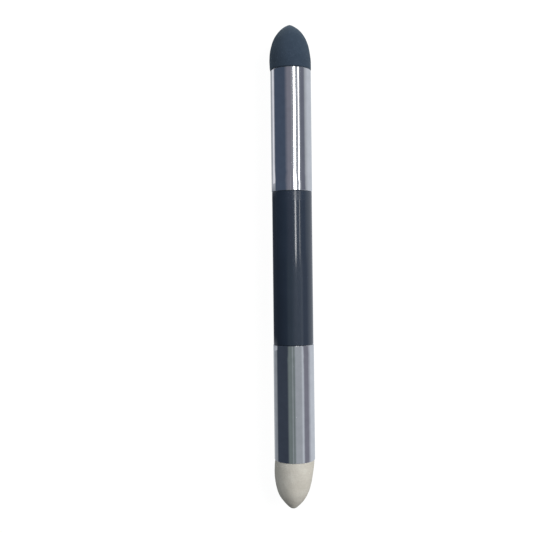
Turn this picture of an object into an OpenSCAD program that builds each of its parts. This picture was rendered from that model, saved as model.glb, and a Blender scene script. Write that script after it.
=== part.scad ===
// Double-ended foam blending stump for charcoal, pastel and graphite.
// The tool lies along Y with its dark tip towards +Y and rests on Z = 0.
// The origin is on the table, under the middle of the tool's length.
// Every sub-part is round about the tool's own axis, so each one is turned from a half outline.
// A half outline is drawn with the radius along x and the distance from mid-length along y.

/* [Grip sleeve] */
// Outer diameter of the black grip sleeve
sleeve_d = 12.5; // [12:0.05:12.6]
// Wall thickness of the grip sleeve
sleeve_wall = 1.1; // [0.8:0.1:1.5]
// Length of the grip sleeve
sleeve_len = 47.8; // [36:0.1:80]
// Rounding of the sleeve's two outer edges
sleeve_edge = 0.3; // [0.1:0.05:0.6]

/* [Ferrules] */
// Outer diameter of both metal ferrules
ferrule_d = 12.7; // [12.7:0.05:14]
// Wall thickness of the ferrule tube
ferrule_wall = 0.35; // [0.25:0.05:0.6]
// Length of the ferrule at the dark end
dark_ferrule_len = 38; // [30:0.1:60]
// Length of the ferrule at the light end
light_ferrule_len = 36.1; // [30:0.1:60]
// Rounding of each ferrule's two outer edges
ferrule_edge = 0.15; // [0.05:0.05:0.2]

/* [Both foam tips] */
// Radius of the slight bulge of each belly, the widest stretch of foam next to its ferrule
belly_bulge_r = 60; // [40:5:90]

/* [Dark foam tip] */
// Length of the dark foam that shows beyond its ferrule
dark_tip_len = 14.6; // [12:0.1:20]
// Diameter of the dark foam at its widest
dark_tip_d = 13; // [12.6:0.1:14]
// Distance from the dark foam's shoulder to its widest point
dark_belly_len = 2.8; // [1:0.1:4]
// Radius of the long curve of the dark foam's sides
dark_flank_r = 18.5; // [18:0.5:30]
// Radius of the dark foam's blunt point
dark_nose_r = 0.8; // [0.5:0.1:1.5]
// Rounding of the dark foam's edge against its ferrule
dark_lip_r = 0.45; // [0.2:0.05:0.8]

/* [Light foam tip] */
// Length of the light foam that shows beyond its ferrule
light_tip_len = 15.5; // [13:0.1:20]
// Diameter of the light foam at its widest
light_tip_d = 12.4; // [12.2:0.1:13.5]
// Distance from the light foam's shoulder to its widest point
light_belly_len = 1.4; // [1:0.1:4]
// Radius of the long curve of the light foam's sides
light_flank_r = 30; // [22:0.5:32]
// Radius of the light foam's blunt point
light_nose_r = 1.9; // [1:0.1:2.5]
// Rounding of the light foam's edge against its ferrule
light_lip_r = 0.1; // [0.05:0.05:0.3]

/* [Tip seat] */
// Depth of the foam shank inside the ferrule
shank_len = 8; // [6:0.5:10]
// Radial clearance between a foam tip and what it slides on
foam_clearance = 0.05; // [0.02:0.01:0.1]
// Gap between the foam's shoulder and the ferrule's rim
shoulder_gap = 0.08; // [0.05:0.01:0.2]
// Gap between the foam shank's end and its holder
shank_gap = 0.25; // [0.15:0.05:0.4]

/* [Tip holders] */
// Diameter of a holder's stem between its barbs
stem_d = 2.6; // [2.2:0.1:3]
// Diameter of the stem over its barbs
barb_d = 3.5; // [3.2:0.1:4]
// Number of barbs along each stem
barb_count = 4; // [2:1:5]
// Length of one barb
barb_len = 1.6; // [1:0.1:2]
// How far the stem reaches past the ferrule's rim into the foam
stem_reach = 5; // [3:0.5:6]
// Thickness of the holder's plug along the tool
plug_len = 6; // [4:0.5:10]
// Wall thickness of the hollow moulded pieces
moulded_wall = 1.3; // [1:0.1:1.6]

/* [Connectors] */
// Length of a connector inside its ferrule
connector_ferrule_len = 8; // [6:0.5:10]
// Length of a connector inside the grip sleeve
connector_sleeve_len = 10; // [8:0.5:14]
// Depth of the grooves that hold the adhesive
groove_depth = 0.3; // [0.2:0.05:0.4]
// Width of the grooves that hold the adhesive
groove_width = 1; // [0.6:0.1:1.4]

/* [Hidden] */
$fn = 180;
sleeve_r = sleeve_d / 2;
sleeve_bore_r = sleeve_r - sleeve_wall;
ferrule_r = ferrule_d / 2;
ferrule_bore_r = ferrule_r - ferrule_wall;
stem_r = stem_d / 2;
barb_r = barb_d / 2;
shank_r = ferrule_bore_r - foam_clearance;
stem_bore_r = barb_r + foam_clearance;
stem_bore_gap = 0.6;

// Distances from mid-length along the tool
dark_end_len = dark_tip_len + dark_ferrule_len;
light_end_len = light_tip_len + light_ferrule_len;
half_len = (dark_end_len + sleeve_len + light_end_len) / 2;
dark_rim = half_len - dark_tip_len;
dark_joint = half_len - dark_end_len;
light_rim = half_len - light_tip_len;
light_joint = half_len - light_end_len;

// The tool rests on the widest part of the dark foam
axis_height = max(dark_tip_d, light_tip_d, ferrule_d) / 2;

foam_dark = [0.20, 0.24, 0.29];
foam_light = [0.76, 0.74, 0.70];
grip_black = [0.09, 0.11, 0.14];
bright_metal = [0.78, 0.79, 0.81];
moulded_white = [0.86, 0.86, 0.83];

// ---- Placing ----

// Lays a turned piece along the tool, with its own +Z towards the dark tip
module towards_dark() {
    translate([0, 0, axis_height])
        rotate([-90, 0, 0])
            children();
}

// Lays a turned piece along the tool, with its own +Z towards the light tip
module towards_light() {
    translate([0, 0, axis_height])
        rotate([90, 0, 0])
            children();
}

// ---- Half outlines ----

// A plain band from one radius to another, between two distances
module band(inner_r, outer_r, low, high) {
    translate([inner_r, low])
        square([outer_r - inner_r, high - low]);
}

// The same band with both its outer corners rounded
module rounded_band(inner_r, outer_r, low, high, edge) {
    band(inner_r, outer_r - edge, low, high);
    band(inner_r, outer_r, low + edge, high - edge);
    translate([outer_r - edge, low + edge])
        circle(r = edge);
    translate([outer_r - edge, high - edge])
        circle(r = edge);
}

// A round of the given radius, kept only between two distances and on the +x side
module arc_zone(centre, radius, low, high) {
    reach = centre[0] + radius * 2;
    intersection() {
        translate(centre)
            circle(r = radius);
        polygon([[0, low], [reach, low], [reach, high], [0, high]]);
    }
}

// Foam outside the ferrule, with its shoulder at 0: a rounded lip, a slightly bulging belly, a
// long flank, a tighter front and a blunt nose. Each curve is tangent to the next, which sets
// where the lip sits and the radius of the front.
module bullet(r, total_len, belly_len, flank_r, nose_r, lip_r) {
    belly_x = r - belly_bulge_r;
    lip_reach = belly_bulge_r - lip_r;
    lip_below = belly_len - lip_r;
    lip_x = belly_x + sqrt(lip_reach * lip_reach - lip_below * lip_below);
    belly_from = belly_len - lip_below * belly_bulge_r / lip_reach;
    point_len = total_len - belly_len;
    flank_len = point_len / 2;
    flank_turn = asin(flank_len / flank_r);
    join_r = r - flank_r * (1 - cos(flank_turn));
    join_at = belly_len + flank_len;
    ahead = point_len - nose_r - flank_len;
    spread = join_r * cos(flank_turn) - ahead * sin(flank_turn) - nose_r;
    front_r = (join_r * join_r + ahead * ahead - nose_r * nose_r) / (2 * spread);
    front_x = join_r - front_r * cos(flank_turn);
    front_y = join_at - front_r * sin(flank_turn);
    nose_y = total_len - nose_r;
    nose_from = nose_y + nose_r * (nose_y - front_y) / (front_r - nose_r);
    band(0, lip_x, 0, belly_len);
    translate([lip_x, lip_r])
        circle(r = lip_r);
    arc_zone([belly_x, belly_len], belly_bulge_r, belly_from, belly_len);
    arc_zone([r - flank_r, belly_len], flank_r, belly_len, join_at);
    arc_zone([front_x, front_y], front_r, join_at, nose_from);
    arc_zone([0, nose_y], nose_r, nose_from, total_len);
}

// Cut-out for a groove that holds adhesive, in a wall of the given outer radius
module glue_groove(wall_r, low) {
    band(wall_r - groove_depth, wall_r + 1, low, low + groove_width);
}

// ---- Sub-parts ----

// Black plastic tube that the hand holds
module grip_sleeve() {
    color(grip_black)
        towards_dark()
            rotate_extrude()
                rounded_band(sleeve_bore_r, sleeve_r, -light_joint, dark_joint, sleeve_edge);
}

// Thin metal tube between the grip sleeve and a foam tip
module ferrule(joint, rim) {
    color(bright_metal)
        rotate_extrude()
            rounded_band(ferrule_bore_r, ferrule_r, joint, rim, ferrule_edge);
}

// Hollow stepped plug, glued into the grip sleeve and into a ferrule
module connector(joint) {
    ferrule_groove = joint + (connector_ferrule_len - groove_width) / 2;
    sleeve_groove = joint - (connector_sleeve_len + groove_width) / 2;
    bore_r = sleeve_bore_r - moulded_wall;
    color(moulded_white)
        rotate_extrude()
            difference() {
                union() {
                    band(bore_r, ferrule_bore_r, joint, joint + connector_ferrule_len);
                    band(bore_r, sleeve_bore_r, joint - connector_sleeve_len, joint + moulded_wall);
                }
                glue_groove(ferrule_bore_r, ferrule_groove);
                glue_groove(sleeve_bore_r, sleeve_groove);
            }
}

// Cup-shaped plug glued inside a ferrule, with the barbed stem that grips the foam
module tip_holder(rim) {
    face = rim - shank_len - shoulder_gap - shank_gap;
    back = face - plug_len;
    stem_end = rim + stem_reach;
    barb_pitch = (stem_end - face) / barb_count;
    color(moulded_white)
        rotate_extrude() {
            difference() {
                band(0, ferrule_bore_r, back, face);
                band(0, ferrule_bore_r - moulded_wall, back - 1, face - moulded_wall);
            }
            band(0, stem_r, face - moulded_wall / 2, stem_end - stem_r);
            arc_zone([0, stem_end - stem_r], stem_r, stem_end - stem_r, stem_end);
            for (barb = [1 : barb_count])
                translate([0, stem_end - stem_r - barb_len - (barb_count - barb) * barb_pitch])
                    polygon([[0, 0], [barb_r, 0], [stem_r, barb_len], [0, barb_len]]);
        }
}

// Foam bullet with a shank that plugs into the ferrule, over the holder's stem
module foam_tip(rim, r, total_len, belly_len, flank_r, nose_r, lip_r) {
    shoulder = rim + shoulder_gap;
    shank_end = shoulder - shank_len;
    bore_end = rim + stem_reach + stem_bore_gap;
    rotate_extrude()
        difference() {
            union() {
                translate([0, shoulder])
                    bullet(r, total_len - shoulder_gap, belly_len, flank_r, nose_r, lip_r);
                band(0, shank_r, shank_end, shoulder + lip_r);
            }
            band(0, stem_bore_r, shank_end - 1, bore_end);
        }
}

module dark_end_ferrule() {
    towards_dark()
        ferrule(dark_joint, dark_rim);
}

module light_end_ferrule() {
    towards_light()
        ferrule(light_joint, light_rim);
}

module dark_end_connector() {
    towards_dark()
        connector(dark_joint);
}

module light_end_connector() {
    towards_light()
        connector(light_joint);
}

module dark_tip_holder() {
    towards_dark()
        tip_holder(dark_rim);
}

module light_tip_holder() {
    towards_light()
        tip_holder(light_rim);
}

module dark_foam_tip() {
    color(foam_dark)
        towards_dark()
            foam_tip(dark_rim, dark_tip_d / 2, dark_tip_len, dark_belly_len, dark_flank_r,
                     dark_nose_r, dark_lip_r);
}

module light_foam_tip() {
    color(foam_light)
        towards_light()
            foam_tip(light_rim, light_tip_d / 2, light_tip_len, light_belly_len, light_flank_r,
                     light_nose_r, light_lip_r);
}

grip_sleeve();
dark_end_connector();
light_end_connector();
dark_end_ferrule();
light_end_ferrule();
dark_tip_holder();
light_tip_holder();
dark_foam_tip();
light_foam_tip();
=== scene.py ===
import math

import bpy
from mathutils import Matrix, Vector, noise


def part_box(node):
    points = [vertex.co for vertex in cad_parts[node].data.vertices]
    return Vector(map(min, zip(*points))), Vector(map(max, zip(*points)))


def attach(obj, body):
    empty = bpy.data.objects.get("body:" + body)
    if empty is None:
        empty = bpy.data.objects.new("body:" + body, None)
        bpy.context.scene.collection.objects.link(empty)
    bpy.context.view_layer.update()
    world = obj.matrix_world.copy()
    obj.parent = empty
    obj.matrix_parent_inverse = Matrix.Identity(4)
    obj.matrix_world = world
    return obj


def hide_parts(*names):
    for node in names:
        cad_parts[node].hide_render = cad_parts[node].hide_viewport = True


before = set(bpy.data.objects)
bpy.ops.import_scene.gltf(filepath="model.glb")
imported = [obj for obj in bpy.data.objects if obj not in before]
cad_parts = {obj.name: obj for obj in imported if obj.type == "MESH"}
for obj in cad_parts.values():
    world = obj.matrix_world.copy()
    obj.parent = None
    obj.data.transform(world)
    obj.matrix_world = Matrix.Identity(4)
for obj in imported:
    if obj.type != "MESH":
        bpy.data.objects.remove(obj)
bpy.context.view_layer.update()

MM = 0.001

# ---- The tool's own measures, from the frame ----

AXIS_Z = (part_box("grip_sleeve")[0].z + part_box("grip_sleeve")[1].z) / 2
DARK_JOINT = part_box("grip_sleeve")[1].y
LIGHT_JOINT = -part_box("grip_sleeve")[0].y
DARK_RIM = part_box("dark_end_ferrule")[1].y
LIGHT_RIM = -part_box("light_end_ferrule")[0].y
FERRULE_BORE_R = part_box("dark_tip_holder")[1].x

# ---- Foam tips: shapes that the CAD boxes don't give ----

SHANK_PLAY = 0.05 * MM       # between the foam's shank and the ferrule
STEM_BORE_R = 1.8 * MM       # hole in the foam for the holder's barbed stem
STEM_BORE_GAP = 0.6 * MM     # between the stem's end and the bottom of that hole
RIM_GAP = 0.01 * MM          # the foam is pushed up against the ferrule's rim
BELLY_BULGE_R = 60 * MM      # the belly's slight curve along the tool
SHANK_EDGE = 0.5 * MM        # rounding of the shank's inner end
RING_STEP = 0.16 * MM        # spacing of the foam's mesh
AROUND = 288                 # mesh points round a foam tip
LUMP_PER_MM = 0.28           # noise scales of the lumps, the pores and the grain, for each mm
PORE_PER_MM = 2.6
GRAIN_PER_MM = 5.5
PORE_SHARE = 0.42            # how near a pore's middle its dip begins
RING_PITCH = 0.62 * MM       # spacing of the grinding rings

DARK_TIP = {
    "node": "dark_foam_tip",
    "body": "dark_tip",
    "slot": "dark_foam",
    "holder": "dark_tip_holder",
    "rim": DARK_RIM,
    "side": 1,
    "belly": 2.88 * MM,
    "flank_r": 18.5 * MM,
    "nose_r": 0.8 * MM,
    "lip_r": 0.45 * MM,
    "lean": -0.20 * MM,
    "lean_over": 8 * MM,
    "ripple": 0.0,
    "lump": 0.05 * MM,
    "pore": 0.030 * MM,
    "seed": 3.1,
    "shades": ((0.037, 0.056, 0.086), (0.043, 0.064, 0.098), (0.050, 0.073, 0.110)),
    "sheen": 0.35,
}
LIGHT_TIP = {
    "node": "light_foam_tip",
    "body": "light_tip",
    "slot": "light_foam",
    "holder": "light_tip_holder",
    "rim": LIGHT_RIM,
    "side": -1,
    "belly": 1.48 * MM,
    "flank_r": 30 * MM,
    "nose_r": 1.9 * MM,
    "lip_r": 0.10 * MM,
    "lean": -0.58 * MM,
    "lean_over": 11 * MM,
    "ripple": 0.018 * MM,
    "lump": 0.07 * MM,
    "pore": 0.034 * MM,
    "seed": 8.7,
    "shades": ((0.71, 0.68, 0.61), (0.76, 0.73, 0.66), (0.80, 0.78, 0.71)),
    "sheen": 0.0,
}

# ---- Small helpers ----


def smooth(value, low, high):
    """0 below low, 1 above high and a soft step between."""
    t = min(1.0, max(0.0, (value - low) / (high - low)))
    return t * t * (3 - 2 * t)


def arc(centre, radius, start, end, step):
    """Points on an arc of (radius, along), from one angle to another, without the first."""
    count = max(2, math.ceil(abs(end - start) * radius / step))
    turns = [start + (end - start) * i / count for i in range(1, count + 1)]
    return [(centre[0] + radius * math.cos(t), centre[1] + radius * math.sin(t)) for t in turns]


def line(start, end, step):
    """Points on a straight line, without the first."""
    count = max(1, math.ceil(math.dist(start, end) / step))
    return [
        (start[0] + (end[0] - start[0]) * i / count, start[1] + (end[1] - start[1]) * i / count)
        for i in range(1, count + 1)
    ]


# ---- Foam tips ----


def bullet_outline(tip, radius, shoulder, apex, step):
    """The foam outside the ferrule, from its shoulder to its point: five curves that meet smoothly."""
    lip, belly, flank_r, nose_r = tip["lip_r"], tip["belly"], tip["flank_r"], tip["nose_r"]
    belly_x = radius - BELLY_BULGE_R
    bulge = math.asin((belly - lip) / (BELLY_BULGE_R - lip))
    lip_x = belly_x + (BELLY_BULGE_R - lip) * math.cos(bulge)
    belly_end = shoulder + belly
    flank = (apex - belly_end) / 2
    turn = math.asin(flank / flank_r)
    join = (radius - flank_r * (1 - math.cos(turn)), belly_end + flank)
    ahead = apex - nose_r - join[1]
    spread = join[0] * math.cos(turn) - ahead * math.sin(turn) - nose_r
    front_r = (join[0] ** 2 + ahead**2 - nose_r**2) / (2 * spread)
    front = (join[0] - front_r * math.cos(turn), join[1] - front_r * math.sin(turn))
    nose_turn = math.atan2(apex - nose_r - front[1], -front[0])
    points = [(lip_x, shoulder)]
    points += arc((lip_x, shoulder + lip), lip, -math.pi / 2, -bulge, step / 3)
    points += arc((belly_x, belly_end), BELLY_BULGE_R, -bulge, 0, step)
    points += arc((radius - flank_r, belly_end), flank_r, 0, turn, step)
    points += arc(front, front_r, turn, nose_turn, step)
    points += arc((0, apex - nose_r), nose_r, nose_turn, math.pi / 2, step / 2)
    return points


def tip_outline(tip, step):
    """Closed half outline of a whole foam tip, from the bottom of its bore to its point."""
    low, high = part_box(tip["node"])
    radius = (high.x - low.x) / 2
    apex = max(abs(low.y), abs(high.y))
    shank_end = min(abs(low.y), abs(high.y))
    stem_end = max(abs(corner.y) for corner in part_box(tip["holder"]))
    bore_end = stem_end + STEM_BORE_GAP
    shoulder = tip["rim"] + RIM_GAP
    shank_r = FERRULE_BORE_R - SHANK_PLAY
    corner = (shank_r - SHANK_EDGE, shank_end + SHANK_EDGE)
    points = [(0.0, bore_end)]
    points += line(points[-1], (STEM_BORE_R, bore_end), step * 2)
    points += line(points[-1], (STEM_BORE_R, shank_end), step * 2)
    points += line(points[-1], (corner[0], shank_end), step * 2)
    points += arc(corner, SHANK_EDGE, -math.pi / 2, 0, step)
    points += line(points[-1], (shank_r, shoulder), step * 2)
    bullet = bullet_outline(tip, radius, shoulder, apex, step)
    points += line(points[-1], bullet[0], step)
    points += bullet[1:]
    return points, shoulder, apex


def foam_relief(tip, place, along, shoulder):
    """How far the foam's skin stands out or in at a place: lumps, grinding rings and pores."""
    out = smooth(along, shoulder + 0.1 * MM, shoulder + 1.2 * MM)
    if out == 0:
        return 0.0
    p = place / MM + Vector((tip["seed"], 0, 0))
    lumps = noise.fractal(p * LUMP_PER_MM, 1.0, 2.0, 3) * tip["lump"]
    fade = 1 - smooth(along, shoulder + 2.0 * MM, shoulder + 4.0 * MM)
    rings = math.sin((along - shoulder) / RING_PITCH * 2 * math.pi) * tip["ripple"] * fade
    cell = noise.voronoi(p * PORE_PER_MM)[0]
    pores = -max(0.0, PORE_SHARE - cell[0]) / PORE_SHARE * tip["pore"]
    grain = noise.noise(p * GRAIN_PER_MM) * tip["pore"] * 0.45
    return out * (lumps + rings + pores + grain)


def foam_tip(tip):
    """A foam tip turned from its outline, with its uneven skin, as one closed mesh."""
    outline, shoulder, apex = tip_outline(tip, RING_STEP)
    vertices, faces = [], []
    last = len(outline) - 1
    for i, (radius, along) in enumerate(outline):
        before, after = outline[max(0, i - 1)], outline[min(last, i + 1)]
        rise = Vector((after[1] - before[1], before[0] - after[0])).normalized()
        upright = 1 - min(1.0, max(0.0, (along - shoulder) / tip["lean_over"]))
        lean = tip["lean"] * (1 - upright**2)
        for j in range(AROUND if 0 < i < last else 1):
            turn = 2 * math.pi * j / AROUND
            spoke = Vector((math.cos(turn), 0, math.sin(turn)))
            place = spoke * radius + Vector((0, tip["side"] * along, 0))
            relief = foam_relief(tip, place, along, shoulder)
            place += spoke * (rise.x * relief) + Vector((lean, tip["side"] * rise.y * relief, 0))
            vertices.append(place + Vector((0, 0, AXIS_Z)))
    apex_at = len(vertices) - 1
    for j in range(AROUND):
        after = (j + 1) % AROUND
        faces.append((0, 1 + after, 1 + j))
        for i in range(last - 2):
            ring = 1 + i * AROUND
            faces.append((ring + j, ring + after, ring + AROUND + after, ring + AROUND + j))
        faces.append((apex_at, apex_at - AROUND + j, apex_at - AROUND + after))
    if tip["side"] < 0:
        faces = [face[::-1] for face in faces]
    mesh = bpy.data.meshes.new(tip["node"] + "_soft")
    mesh.from_pydata(vertices, [], faces)
    mesh.validate()
    mesh.shade_smooth()
    piece = bpy.data.objects.new(tip["node"] + "_soft", mesh)
    bpy.context.scene.collection.objects.link(piece)
    return piece


# ---- Materials: noise scales are per metre, and a scale of three numbers is for X, Y and Z ----

METAL_DARK = (0.80, 0.81, 0.83)
METAL_LIGHT = (0.88, 0.89, 0.91)
METAL_ROUGHNESS = (0.05, 0.09)
DRAW_LINES = (2600, 30, 2600)    # long thin streaks, left by drawing the tube
DRAW_LINE_DEPTH = 0.004 * MM
WAVES = (150, 260, 150)
WAVE_DEPTH = 0.22 * MM
WAVES_LEFT = 0.05                # share of the waves that is left far from the sleeve

# Faint lengthwise creases of the dark-end ferrule where it was pressed on: angle round the tool in
# degrees from straight up, width and depth.
CREASES = (
    (-3.5, 0.35 * MM, 0.035 * MM),
    (8.0, 0.30 * MM, 0.012 * MM),
    (-64.0, 0.60 * MM, 0.05 * MM),
)

GRIP_DARK = (0.024, 0.036, 0.059)
GRIP_LIGHT = (0.027, 0.040, 0.065)
GRIP_IOR = 1.62
GRIP_ROUGHNESS = (0.045, 0.075)
GRIP_DULLER_BY = 0.17            # added roughness over the last few millimetres at the dark end
GRIP_SCUFFS = (700, 2600, 700)
PEEL_DEPTH = 0.002 * MM

MOULDED_DARK = (0.70, 0.70, 0.66)
MOULDED_LIGHT = (0.78, 0.78, 0.74)
MOULDED_ROUGHNESS = (0.36, 0.50)
MOULDED_GRAIN_DEPTH = 0.01 * MM

FOAM_SHEEN_TINT = (0.72, 0.88, 1.0, 1)
FOAM_PORES = 3800                # noise scale of the foam's finest pores
FOAM_PORE_DEPTH = 0.05 * MM
FOAM_GRAIN_DEPTH = 0.03 * MM

MIX_COLOUR_INPUTS = (0, 6, 7)    # a Mix node's sockets for factor, first and second colour
MIX_COLOUR_OUTPUT = 2


class Surface:
    """A procedural material under construction, with its shader and its position in metres."""

    def __init__(self, name):
        self.material = bpy.data.materials.new(name)
        self.material.use_nodes = True
        self.nodes = self.material.node_tree.nodes
        self.links = self.material.node_tree.links
        self.nodes.clear()
        self.output = self.nodes.new("ShaderNodeOutputMaterial")
        self.place = self.nodes.new("ShaderNodeTexCoord").outputs["Object"]

    def feed(self, socket, value):
        """Gives a socket another node's output, or a plain value."""
        if isinstance(value, bpy.types.NodeSocket):
            self.links.new(value, socket)
        else:
            socket.default_value = value

    def principled(self, **values):
        """Ends the material with the usual shader. Each name is a socket's, with _ for a space."""
        shader = self.nodes.new("ShaderNodeBsdfPrincipled")
        for name, value in values.items():
            self.feed(shader.inputs[name.replace("_", " ")], value)
        self.links.new(shader.outputs["BSDF"], self.output.inputs["Surface"])

    def emission(self, colour, strength=1.0):
        """Ends the material with a plain glow."""
        shader = self.nodes.new("ShaderNodeEmission")
        self.feed(shader.inputs["Color"], colour)
        self.feed(shader.inputs["Strength"], strength)
        self.links.new(shader.outputs[0], self.output.inputs["Surface"])

    def math(self, operation, first, second=0.0):
        node = self.nodes.new("ShaderNodeMath")
        node.operation = operation
        for socket, value in zip(node.inputs, (first, second)):
            self.feed(socket, value)
        return node.outputs[0]

    def scaled(self, scale):
        """The position with each axis stretched: small numbers make long streaks."""
        node = self.nodes.new("ShaderNodeMapping")
        node.inputs["Scale"].default_value = scale
        self.links.new(self.place, node.inputs["Vector"])
        return node.outputs[0]

    def noise(self, scale, detail=3.0, vector=None, roughness=0.55):
        node = self.nodes.new("ShaderNodeTexNoise")
        node.inputs["Scale"].default_value = scale
        node.inputs["Detail"].default_value = detail
        node.inputs["Roughness"].default_value = roughness
        self.links.new(vector or self.place, node.inputs["Vector"])
        return node.outputs["Fac"]

    def cells(self, scale):
        node = self.nodes.new("ShaderNodeTexVoronoi")
        node.inputs["Scale"].default_value = scale
        self.links.new(self.place, node.inputs["Vector"])
        return node.outputs["Distance"]

    def blend(self, first, share, second):
        """Two noises added up, with a share of the first and the rest of the second."""
        parts = self.math("MULTIPLY", first, share), self.math("MULTIPLY", second, 1 - share)
        return self.math("ADD", *parts)

    def ranged(self, value, low, high, to_low, to_high):
        """A soft step from to_low, at low, to to_high, at high."""
        node = self.nodes.new("ShaderNodeMapRange")
        node.interpolation_type = "SMOOTHSTEP"
        for socket, given in zip(node.inputs, (value, low, high, to_low, to_high)):
            self.feed(socket, given)
        return node.outputs[0]

    def ramp(self, value, stops):
        """The colour at a value between 0 and 1, from stops of a position and a colour."""
        node = self.nodes.new("ShaderNodeValToRGB")
        elements = node.color_ramp.elements
        while len(elements) < len(stops):
            elements.new(0.5)
        for element, (position, colour) in zip(elements, stops):
            element.position = position
            element.color = (*colour, 1)
        self.links.new(value, node.inputs["Fac"])
        return node.outputs["Color"]

    def two_tone(self, value, dark, light):
        """A noise as a mottle of two colours."""
        return self.ramp(value, [(0.3, dark), (0.7, light)])

    def mixed(self, share, first, second):
        """The first colour where share is 0 and the second where it is 1."""
        node = self.nodes.new("ShaderNodeMix")
        node.data_type = "RGBA"
        factor, first_in, second_in = (node.inputs[i] for i in MIX_COLOUR_INPUTS)
        self.links.new(share, factor)
        self.links.new(first, first_in)
        self.links.new(second, second_in)
        return node.outputs[MIX_COLOUR_OUTPUT]

    def bump(self, height, distance, strength=1.0, under=None):
        """The skin's direction with a relief on it, over another relief if one is given."""
        node = self.nodes.new("ShaderNodeBump")
        node.inputs["Distance"].default_value = distance
        self.feed(node.inputs["Strength"], strength)
        self.links.new(height, node.inputs["Height"])
        if under is not None:
            self.links.new(under, node.inputs["Normal"])
        return node.outputs["Normal"]

    def apart(self):
        """The position's X, Y and Z."""
        node = self.nodes.new("ShaderNodeSeparateXYZ")
        self.links.new(self.place, node.inputs[0])
        return node.outputs

    def along(self):
        """How far along the tool, from its middle and positive towards the dark tip."""
        return self.apart()["Y"]

    def around(self):
        """The angle round the tool, from straight up and positive to the right."""
        place = self.apart()
        return self.math("ARCTAN2", place["X"], self.math("SUBTRACT", place["Z"], AXIS_Z))

    def groove(self, turn, width):
        """A lengthwise groove in a round skin: 0 at its bottom, near 1 away from it."""
        aside = self.math("DIVIDE", self.math("SUBTRACT", self.around(), turn), width / AXIS_Z)
        squared = self.math("MULTIPLY", aside, aside)
        fall = self.math("POWER", math.e, self.math("MULTIPLY", squared, -1.0))
        return self.math("SUBTRACT", 1.0, fall)


def ferrule_metal():
    """Drawn and polished thin tube: lengthwise draw lines, and slight waves where it is pressed on."""
    s = Surface("ferrule_metal")
    streaks = s.noise(1.0, 2.0, s.scaled(DRAW_LINES))
    haze = s.noise(420, 3.0)
    from_middle = s.math("ABSOLUTE", s.along())
    near_sleeve = s.ranged(from_middle, DARK_JOINT + 1 * MM, DARK_JOINT + 11 * MM, 1.0, WAVES_LEFT)
    normal = s.bump(s.noise(1.0, 1.0, s.scaled(WAVES)), WAVE_DEPTH, near_sleeve)
    at_crimp = s.ranged(s.along(), DARK_JOINT + 2 * MM, DARK_JOINT + 9 * MM, 1.0, 0.0)
    for turn, width, depth in CREASES:
        normal = s.bump(s.groove(math.radians(turn), width), depth, at_crimp, normal)
    s.principled(
        Metallic=1.0,
        Base_Color=s.two_tone(haze, METAL_DARK, METAL_LIGHT),
        Roughness=s.ranged(s.blend(streaks, 0.6, haze), 0.3, 0.7, *METAL_ROUGHNESS),
        Normal=s.bump(streaks, DRAW_LINE_DEPTH, 0.4, normal),
    )
    return s.material


def grip_plastic():
    """Glossy black lacquered plastic, duller over the last few millimetres at the dark end."""
    s = Surface("black_grip")
    scuffs = s.noise(1.0, 4.0, s.scaled(GRIP_SCUFFS), 0.7)
    polished = s.ranged(scuffs, 0.45, 0.75, *GRIP_ROUGHNESS)
    dull_from, dull_to = DARK_JOINT - 3.3 * MM, DARK_JOINT - 2.7 * MM
    dull = s.ranged(s.along(), dull_from, dull_to, 0.0, GRIP_DULLER_BY)
    s.principled(
        IOR=GRIP_IOR,
        Coat_Weight=0.25,
        Coat_Roughness=0.25,
        Base_Color=s.two_tone(s.noise(160, 2.0), GRIP_DARK, GRIP_LIGHT),
        Roughness=s.math("ADD", polished, dull),
        Normal=s.bump(s.noise(500, 2.0), PEEL_DEPTH, 0.4),
    )
    return s.material


def moulded_plastic():
    """Natural white moulded plastic with a satin skin."""
    s = Surface("moulded_plastic")
    shade = s.noise(300, 3.0)
    s.principled(
        IOR=1.5,
        Base_Color=s.two_tone(shade, MOULDED_DARK, MOULDED_LIGHT),
        Roughness=s.ranged(shade, 0.3, 0.7, *MOULDED_ROUGHNESS),
        Normal=s.bump(s.noise(2500, 3.0), MOULDED_GRAIN_DEPTH, 0.5),
    )
    return s.material


def foam(name, dark, mid, light, sheen):
    """Fine closed foam: mottled colour, painted shade in its pores and a soft matte skin."""
    s = Surface(name)
    mottle = s.blend(s.noise(260, 4.0), 0.65, s.noise(1500, 3.0))
    mottle_and_pore_shade = s.nodes.new("ShaderNodeVectorMath")
    mottle_and_pore_shade.operation = "SCALE"
    s.feed(mottle_and_pore_shade.inputs[0], s.ramp(mottle, [(0.34, dark), (0.5, mid), (0.66, light)]))
    # The mottled colour is darkened by up to 18% towards the middle of each pore's dip, on the same
    # cells as the pore bump below: painted shade in the pores.
    s.feed(mottle_and_pore_shade.inputs["Scale"], s.ranged(s.cells(FOAM_PORES), 0.05, 0.45, 0.82, 1.0))
    grain = s.bump(s.noise(6500, 4.0), FOAM_GRAIN_DEPTH, 0.7)
    s.principled(
        IOR=1.3,
        Sheen_Weight=sheen,
        Sheen_Roughness=0.5,
        Sheen_Tint=FOAM_SHEEN_TINT,
        Base_Color=mottle_and_pore_shade.outputs[0],
        Roughness=0.95,
        Normal=s.bump(s.cells(FOAM_PORES), FOAM_PORE_DEPTH, 0.8, grain),
    )
    return s.material


# ---- Studio ----

TENT_RADIUS = 0.6
TENT_HALF_LENGTH = 1.2
TENT_SHEET_Z = 0.05 * MM
TENT_CHANGE = (-0.004, 0.022)    # stretch of Y where the light end's glow becomes the dark end's
STRIPS_END = (0.27, 0.33)        # stretch of Y over which the strip lights end

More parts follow.
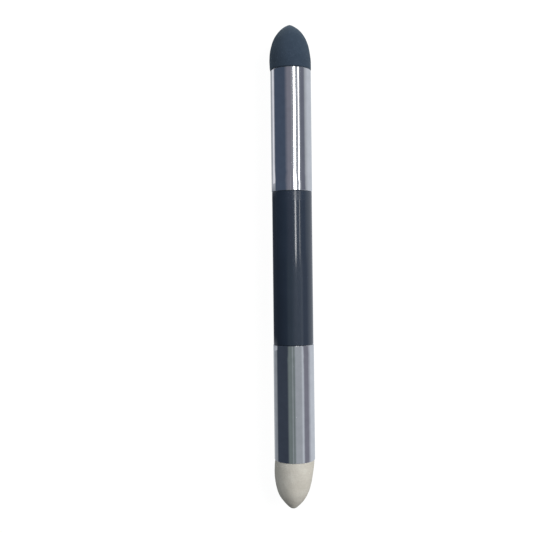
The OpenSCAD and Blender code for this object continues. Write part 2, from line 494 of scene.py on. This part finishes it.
# Cards and lights that the metal and the gloss reflect, told apart by their glow.
CHARCOAL = (0.04, 0.05, 0.07)
NAVY = (0.06, 0.08, 0.12)
DUSK = (0.15, 0.16, 0.20)
SAGE = (0.16, 0.19, 0.19)
MAUVE = (0.20, 0.20, 0.24)
GREY = (0.35, 0.37, 0.40)
PALE = (0.55, 0.58, 0.63)
WHITE = (0.9, 0.9, 0.95)
THIN_STRIP = (3.5, 3.5, 3.5)
STRIP = (7.0, 7.0, 7.0)

# Where they hang: degrees round the tool, from straight up and positive to the right. The glow
# runs evenly from each row to the next. A dark side faces the tool on the left, two strip lights
# hang over the dark end, and the pale table shows low on both sides.
OVER_DARK_END = (
    (-115, GREY), (-108, WHITE), (-100, NAVY), (-40, NAVY), (-20, MAUVE), (-5, MAUVE),
    (12, GREY), (14, STRIP), (20, STRIP), (22, GREY), (38, GREY), (40, THIN_STRIP),
    (42, THIN_STRIP), (44, GREY), (55, DUSK), (75, DUSK), (82, GREY), (100, PALE),
)
OVER_LIGHT_END = (
    (-115, GREY), (-100, CHARCOAL), (-40, CHARCOAL), (-30, SAGE), (-10, SAGE), (10, GREY),
    (40, GREY), (50, PALE), (60, MAUVE), (85, MAUVE), (100, PALE),
)

CARD_FOOT = (-9 * MM, 0.1 * MM)     # x and z of the dark card's lower and upper edge
CARD_TOP = (-13.5 * MM, 6.7 * MM)
CARD_GLOW = (0.06, 0.07, 0.09)
CARD_END_GLOW = (0.40, 0.42, 0.46)
CARD_FADE = 5 * MM

FLOOR_HALF = 6.0
TABLE_BOUNCE = (0.27, 0.29, 0.30)
GROUND_LOW = (0.13, 0.13, 0.13)
GROUND_HIGH = (0.15, 0.15, 0.15)
GROUND_GLOW = 0.965
BACKDROP_FOOT = -1.0
BACKDROP_GLOW = 0.98
WORLD_GLOW = 0.14
WHITE_LIGHT = (1, 1, 1, 1)

KEY_LIGHT = {"place": (0.50, 0.22, 0.50), "size": 0.55, "power": 4.75, "colour": (1.0, 0.99, 0.97)}
FILL_LIGHT = {"place": (-0.30, 0.28, 0.35), "size": 0.40, "power": 0.75, "colour": (0.90, 0.96, 1.0)}

CAMERA_PLACE = (-8.25 * MM, 0.1 * MM, AXIS_Z + 232 * MM)
CAMERA_TURN = -0.65                 # degrees, seen from above
LENS_MM = 49.8
SENSOR_MM = 36


def tent_glow():
    """The tent's light: one colour ramp round the tool for each end, blended over the middle."""
    s = Surface("tent_glow")
    s.material.cycles.emission_sampling = "NONE"
    share = s.math("ADD", s.math("DIVIDE", s.around(), 2 * math.pi), 0.5)
    dark_end, light_end = (
        s.ramp(share, [(0.5 + turn / 360, colour) for turn, colour in rows])
        for rows in (OVER_DARK_END, OVER_LIGHT_END)
    )
    over_dark_end = s.ranged(s.along(), *TENT_CHANGE, 0.0, 1.0)
    past_it = s.ranged(s.along(), *STRIPS_END, 0.0, 1.0)
    s.emission(s.mixed(s.math("SUBTRACT", over_dark_end, past_it), light_end, dark_end))
    return s.material


def stage_piece(name, vertices, faces, material, seen_by):
    """A piece of the studio that only the named kinds of light ray meet."""
    mesh = bpy.data.meshes.new(name)
    mesh.from_pydata(vertices, [], faces)
    mesh.materials.append(material)
    made = bpy.data.objects.new(name, mesh)
    bpy.context.scene.collection.objects.link(made)
    for kind in ("camera", "diffuse", "glossy", "transmission", "volume_scatter", "shadow"):
        setattr(made, f"visible_{kind}", kind in seen_by)
    return made


def wall_faces(count):
    """Faces of a closed wall whose vertices come in pairs, a pair for each of its corners."""
    faces = []
    for i in range(count):
        after = (i + 1) % count
        faces.append((2 * i, 2 * i + 1, 2 * after + 1, 2 * after))
    return faces


def reflection_tent():
    """A half tube over the tool, closed by a sheet on the table. Only reflections show it."""
    turns = [math.radians(90 - i * 5) for i in range(37)]
    corners = [(TENT_RADIUS * math.sin(t), AXIS_Z + TENT_RADIUS * math.cos(t)) for t in turns]
    corners += [(-TENT_RADIUS, TENT_SHEET_Z), (TENT_RADIUS, TENT_SHEET_Z)]
    vertices = [(x, y, z) for x, z in corners for y in (-TENT_HALF_LENGTH, TENT_HALF_LENGTH)]
    stage_piece("reflection_tent", vertices, wall_faces(len(corners)), tent_glow(), ("glossy",))


def dark_card():
    """A dark card that leans beside the sleeve, low on its left, as a second tool would lie there.
    It fades out at its ends, so that the ferrules show no hard step."""
    s = Surface("dark_card")
    end = LIGHT_JOINT + CARD_FADE / 2
    faded = s.ranged(s.math("ABSOLUTE", s.along()), end - CARD_FADE, end, 0.0, 1.0)
    s.emission(s.ramp(faded, [(0, CARD_GLOW), (1, CARD_END_GLOW)]))
    vertices = [(x, y, z) for x, z in (CARD_FOOT, CARD_TOP) for y in (-end, end)]
    stage_piece("dark_card", vertices, [(0, 1, 3, 2)], s.material, ("glossy",))


def table_bounce():
    """The grey table that sends light back up at the tool."""
    s = Surface("table_bounce")
    s.principled(Base_Color=(*TABLE_BOUNCE, 1), Roughness=1.0, Specular_IOR_Level=0.0)
    return s.material


def white_ground():
    """The pale floor that the camera sees: a lit white sheet, with a faint grain and shadow."""
    s = Surface("white_ground")
    s.principled(
        Base_Color=s.two_tone(s.noise(900, 3.0), GROUND_LOW, GROUND_HIGH),
        Roughness=1.0,
        Specular_IOR_Level=0.0,
        Emission_Color=WHITE_LIGHT,
        Emission_Strength=GROUND_GLOW,
    )
    return s.material


def floor():
    """Two sheets in one place: one for the camera and one for the light that the table returns."""
    half = FLOOR_HALF
    corners = [(-half, -half, 0.0), (half, -half, 0.0), (half, half, 0.0), (-half, half, 0.0)]
    stage_piece("floor", corners, [(0, 1, 2, 3)], white_ground(), ("camera",))
    stage_piece("table_bounce", corners, [(0, 1, 2, 3)], table_bounce(), ("diffuse", "transmission"))


def backdrop():
    """Plain white all round, beyond the floor."""
    s = Surface("backdrop")
    s.material.cycles.emission_sampling = "NONE"
    s.emission(WHITE_LIGHT, BACKDROP_GLOW)
    turns = [math.radians(i * 10) for i in range(36)]
    ring = [(FLOOR_HALF * math.cos(t), FLOOR_HALF * math.sin(t)) for t in turns]
    vertices = [(x, y, z) for x, y in ring for z in (BACKDROP_FOOT, FLOOR_HALF)]
    stage_piece("backdrop", vertices, wall_faces(len(ring)), s.material, ("camera",))


def soft_light(name, place, size, power, colour):
    """A square lamp that points at the tool and shows in no reflection."""
    lamp = bpy.data.lights.new(name, "AREA")
    lamp.shape = "SQUARE"
    lamp.size = size
    lamp.energy = power
    lamp.color = colour
    made = bpy.data.objects.new(name, lamp)
    made.location = place
    made.rotation_euler = (-Vector(place)).to_track_quat("-Z", "Y").to_euler()
    made.visible_glossy = False
    bpy.context.scene.collection.objects.link(made)


def world_light():
    world = bpy.data.worlds.new("studio")
    world.use_nodes = True
    back = world.node_tree.nodes["Background"]
    back.inputs["Color"].default_value = WHITE_LIGHT
    back.inputs["Strength"].default_value = WORLD_GLOW
    bpy.context.scene.world = world


def camera():
    """Straight above, a little to the left of the tool and turned slightly."""
    lens = bpy.data.cameras.new("camera")
    lens.sensor_width = SENSOR_MM
    lens.lens = LENS_MM
    made = bpy.data.objects.new("camera", lens)
    made.location = CAMERA_PLACE
    made.rotation_euler = (0, 0, math.radians(CAMERA_TURN))
    bpy.context.scene.collection.objects.link(made)
    bpy.context.scene.camera = made


# ---- Putting it together ----


def dress(node, material):
    """Gives a CAD node its finish."""
    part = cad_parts[node]
    part.data.materials.clear()
    part.data.materials.append(material)
    part.data.shade_smooth()


camera()
world_light()
soft_light("key", **KEY_LIGHT)
soft_light("fill", **FILL_LIGHT)
floor()
backdrop()
reflection_tent()
dark_card()

metal, grip, moulded = ferrule_metal(), grip_plastic(), moulded_plastic()
for end in ("dark", "light"):
    dress(f"{end}_end_ferrule", metal)
    dress(f"{end}_end_connector", moulded)
    dress(f"{end}_tip_holder", moulded)
dress("grip_sleeve", grip)

for tip in (DARK_TIP, LIGHT_TIP):
    piece = foam_tip(tip)
    piece.data.materials.append(foam(tip["slot"], *tip["shades"], tip["sheen"]))
    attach(piece, tip["body"])
    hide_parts(tip["node"])

bpy.context.scene.view_settings.view_transform = "Standard"
